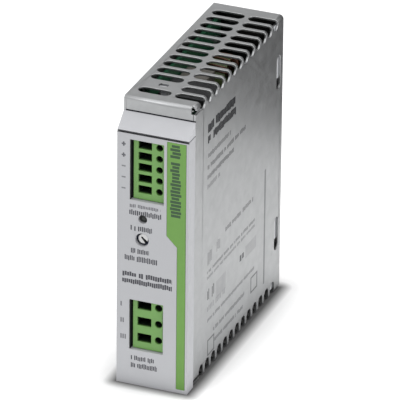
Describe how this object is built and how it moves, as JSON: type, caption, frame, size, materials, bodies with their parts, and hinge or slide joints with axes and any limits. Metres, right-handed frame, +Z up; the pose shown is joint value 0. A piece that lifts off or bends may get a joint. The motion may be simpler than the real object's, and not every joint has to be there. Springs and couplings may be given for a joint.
{
  "type": "din rail power supply",
  "caption": "Slim rail-mounted power supply: slotted folded-steel case, plastic front with pull-off screw terminal plugs, lamp, trimmer and a latching rail foot.",
  "frame": {"origin": "centre of the bounding box at the housing's base", "axes": "+X to the right seen from the front, -Y out of the front panel, +Z up along the housing's height"},
  "size_m": [0.032, 0.115, 0.13],
  "materials": {
    "steel": "zinc-plated sheet, fine rolled grain, semi-gloss",
    "front_plastic": "fine-textured light grey moulding",
    "accent": "smooth green moulding",
    "plug_plastic": "satin green moulding",
    "header_plastic": "satin green moulding",
    "board": "green solder mask over glass laminate",
    "zinc": "zinc-plated fastener",
    "brass": "turned brass",
    "film": "translucent insulating film",
    "ferrite": "ground ferrite",
    "black_plastic": "glass-filled black moulding",
    "tape": "yellow polyester tape",
    "sleeve": "shrink sleeve over aluminium can",
    "sleeve_output": "shrink sleeve over aluminium can",
    "toroid": "coated powder core",
    "copper": "enamelled copper wire",
    "capacitor_case": "moulded film capacitor case",
    "ceramic": "ceramic tube with tinned caps",
    "varistor_coat": "blue epoxy coating",
    "aluminium": "mill-finish aluminium",
    "lens": "tinted light-emitting diode, unlit",
    "trimmer_blue": "moulded trimmer case",
    "rotor": "off-white moulded rotor",
    "tin": "tin-plated contact",
    "adapter_plastic": "glass-filled black moulding",
    "latch_plastic": "glass-filled dark grey moulding",
    "spring": "bright spring wire"
  },
  "bodies": {
    "housing": {"chassis": "steel", "cover": "steel", "cover_screws": "zinc", "front_panel": "front_plastic", "front_bevel": "front_plastic", "accent_strip": "accent", "main_board": "board", "board_standoffs": "brass", "board_screws": "zinc", "insulation_sheet": "film", "transformer_core": "ferrite", "transformer_bobbin": "black_plastic", "transformer_winding": "tape", "bulk_capacitors": "sleeve", "output_capacitors": "sleeve_output", "choke_cores": "toroid", "choke_windings": "copper", "suppression_capacitors": "capacitor_case", "fuse": "ceramic", "varistor": "varistor_coat", "bridge_rectifier": "black_plastic", "primary_heatsink": "aluminium", "secondary_heatsink": "aluminium", "power_transistor": "black_plastic", "output_diode": "black_plastic", "heatsink_screws": "zinc", "control_chips": "black_plastic", "led_holder": "black_plastic", "status_led": "lens", "trimmer_body": "trimmer_blue", "output_header": "header_plastic", "output_header_pins": "tin", "input_header": "header_plastic", "input_header_pins": "tin", "rail_adapter": "adapter_plastic", "latch_spring": "spring", "adapter_screws": "zinc"},
    "output_plug": {"output_plug": "plug_plastic", "output_contacts": "tin"},
    "input_plug": {"input_plug": "plug_plastic", "input_contacts": "tin"},
    "trimmer_rotor": {"trimmer_rotor": "rotor"},
    "rail_latch": {"rail_latch": "latch_plastic"},
    "output_screw_1": {"output_screw_1": "zinc"},
    "output_clamp_1": {"output_clamp_1": "tin"},
    "output_screw_2": {"output_screw_2": "zinc"},
    "output_clamp_2": {"output_clamp_2": "tin"},
    "output_screw_3": {"output_screw_3": "zinc"},
    "output_clamp_3": {"output_clamp_3": "tin"},
    "output_screw_4": {"output_screw_4": "zinc"},
    "output_clamp_4": {"output_clamp_4": "tin"},
    "output_screw_5": {"output_screw_5": "zinc"},
    "output_clamp_5": {"output_clamp_5": "tin"},
    "input_screw_1": {"input_screw_1": "zinc"},
    "input_clamp_1": {"input_clamp_1": "tin"},
    "input_screw_2": {"input_screw_2": "zinc"},
    "input_clamp_2": {"input_clamp_2": "tin"},
    "input_screw_3": {"input_screw_3": "zinc"},
    "input_clamp_3": {"input_clamp_3": "tin"}
  },
  "joints": [
    {"name": "output_plug_pull", "type": "slide", "parent": "housing", "child": "output_plug", "axis": [0, -1, 0], "range_m": [0, 0.03]},
    {"name": "input_plug_pull", "type": "slide", "parent": "housing", "child": "input_plug", "axis": [0, -1, 0], "range_m": [0, 0.03]},
    {"name": "output_screw_1_turn", "type": "hinge", "parent": "output_plug", "child": "output_screw_1", "pos_m": [0.0024, -0.045, 0.1117], "axis": [0, 1, 0], "range_deg": [0, 1440]},
    {"name": "output_clamp_1_slide", "type": "slide", "parent": "output_plug", "child": "output_clamp_1", "axis": [0, -1, 0], "range_m": [0, 0.002]},
    {"name": "output_screw_2_turn", "type": "hinge", "parent": "output_plug", "child": "output_screw_2", "pos_m": [0.0024, -0.045, 0.10662], "axis": [0, 1, 0], "range_deg": [0, 1440]},
    {"name": "output_clamp_2_slide", "type": "slide", "parent": "output_plug", "child": "output_clamp_2", "axis": [0, -1, 0], "range_m": [0, 0.002]},
    {"name": "output_screw_3_turn", "type": "hinge", "parent": "output_plug", "child": "output_screw_3", "pos_m": [0.0024, -0.045, 0.10154], "axis": [0, 1, 0], "range_deg": [0, 1440]},
    {"name": "output_clamp_3_slide", "type": "slide", "parent": "output_plug", "child": "output_clamp_3", "axis": [0, -1, 0], "range_m": [0, 0.002]},
    {"name": "output_screw_4_turn", "type": "hinge", "parent": "output_plug", "child": "output_screw_4", "pos_m": [0.0024, -0.045, 0.09646], "axis": [0, 1, 0], "range_deg": [0, 1440]},
    {"name": "output_clamp_4_slide", "type": "slide", "parent": "output_plug", "child": "output_clamp_4", "axis": [0, -1, 0], "range_m": [0, 0.002]},
    {"name": "output_screw_5_turn", "type": "hinge", "parent": "output_plug", "child": "output_screw_5", "pos_m": [0.0024, -0.045, 0.09138], "axis": [0, 1, 0], "range_deg": [0, 1440]},
    {"name": "output_clamp_5_slide", "type": "slide", "parent": "output_plug", "child": "output_clamp_5", "axis": [0, -1, 0], "range_m": [0, 0.002]},
    {"name": "input_screw_1_turn", "type": "hinge", "parent": "input_plug", "child": "input_screw_1", "pos_m": [0.0024, -0.045, 0.0373], "axis": [0, 1, 0], "range_deg": [0, 1440]},
    {"name": "input_clamp_1_slide", "type": "slide", "parent": "input_plug", "child": "input_clamp_1", "axis": [0, -1, 0], "range_m": [0, 0.002]},
    {"name": "input_screw_2_turn", "type": "hinge", "parent": "input_plug", "child": "input_screw_2", "pos_m": [0.0024, -0.045, 0.02968], "axis": [0, 1, 0], "range_deg": [0, 1440]},
    {"name": "input_clamp_2_slide", "type": "slide", "parent": "input_plug", "child": "input_clamp_2", "axis": [0, -1, 0], "range_m": [0, 0.002]},
    {"name": "input_screw_3_turn", "type": "hinge", "parent": "input_plug", "child": "input_screw_3", "pos_m": [0.0024, -0.045, 0.02206], "axis": [0, 1, 0], "range_deg": [0, 1440]},
    {"name": "input_clamp_3_slide", "type": "slide", "parent": "input_plug", "child": "input_clamp_3", "axis": [0, -1, 0], "range_m": [0, 0.002]},
    {"name": "trimmer_turn", "type": "hinge", "parent": "housing", "child": "trimmer_rotor", "pos_m": [-0.0047, -0.054, 0.0686], "axis": [0, 1, 0], "range_deg": [-135, 135]},
    {"name": "rail_latch_slide", "type": "slide", "parent": "housing", "child": "rail_latch", "axis": [0, 0, -1], "range_m": [0, 0.005], "stiffness_N_per_m": 1000, "springref_m": -0.002, "deforming": ["latch_spring"]}
  ],
  "couplings": [
    {"joint": "output_screw_1_turn", "follows": "output_clamp_1_slide", "rad_per_m": 12566},
    {"joint": "output_screw_2_turn", "follows": "output_clamp_2_slide", "rad_per_m": 12566},
    {"joint": "output_screw_3_turn", "follows": "output_clamp_3_slide", "rad_per_m": 12566},
    {"joint": "output_screw_4_turn", "follows": "output_clamp_4_slide", "rad_per_m": 12566},
    {"joint": "output_screw_5_turn", "follows": "output_clamp_5_slide", "rad_per_m": 12566},
    {"joint": "input_screw_1_turn", "follows": "input_clamp_1_slide", "rad_per_m": 12566},
    {"joint": "input_screw_2_turn", "follows": "input_clamp_2_slide", "rad_per_m": 12566},
    {"joint": "input_screw_3_turn", "follows": "input_clamp_3_slide", "rad_per_m": 12566}
  ]
}
